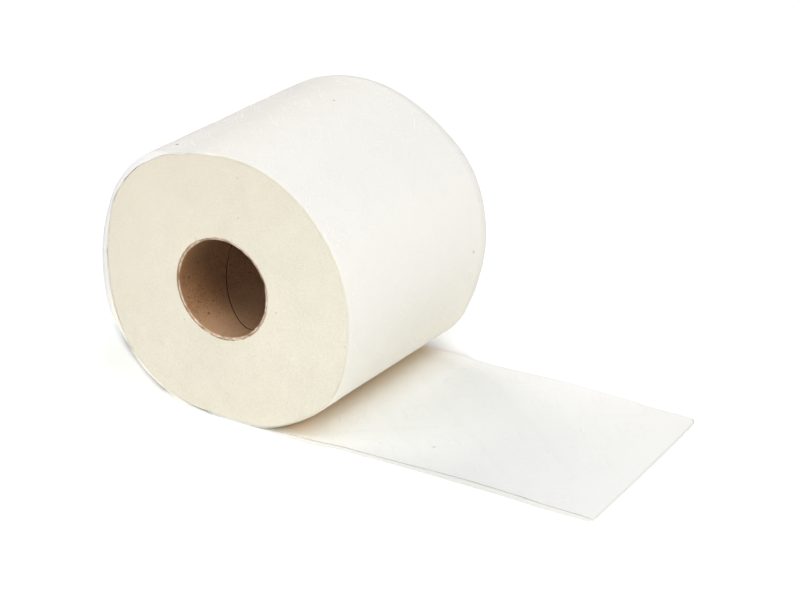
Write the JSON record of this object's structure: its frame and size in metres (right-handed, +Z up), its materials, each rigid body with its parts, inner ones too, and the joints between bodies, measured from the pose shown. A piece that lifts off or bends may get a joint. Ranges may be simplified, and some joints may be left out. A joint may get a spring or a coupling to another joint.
{
  "type": "toilet paper roll",
  "caption": "Soft bathroom tissue wound on a cardboard core, lying on its side with its loose end run out over the floor.",
  "frame": {"origin": "middle of the core's bore, on its axis and halfway along the roll", "axes": "+Y along the core's axis, away from the front end face; +X the way the loose end runs; +Z up, with the roll lying on the floor below"},
  "size_m": [0.2178, 0.1, 0.1084],
  "materials": {
    "tissue": "soft matt creped and embossed tissue, warm off-white",
    "cardboard": "matt spiral-wound brown board"
  },
  "bodies": {
    "root": {"core_tube": "cardboard", "tissue_roll": "tissue"}
  },
  "joints": []
}
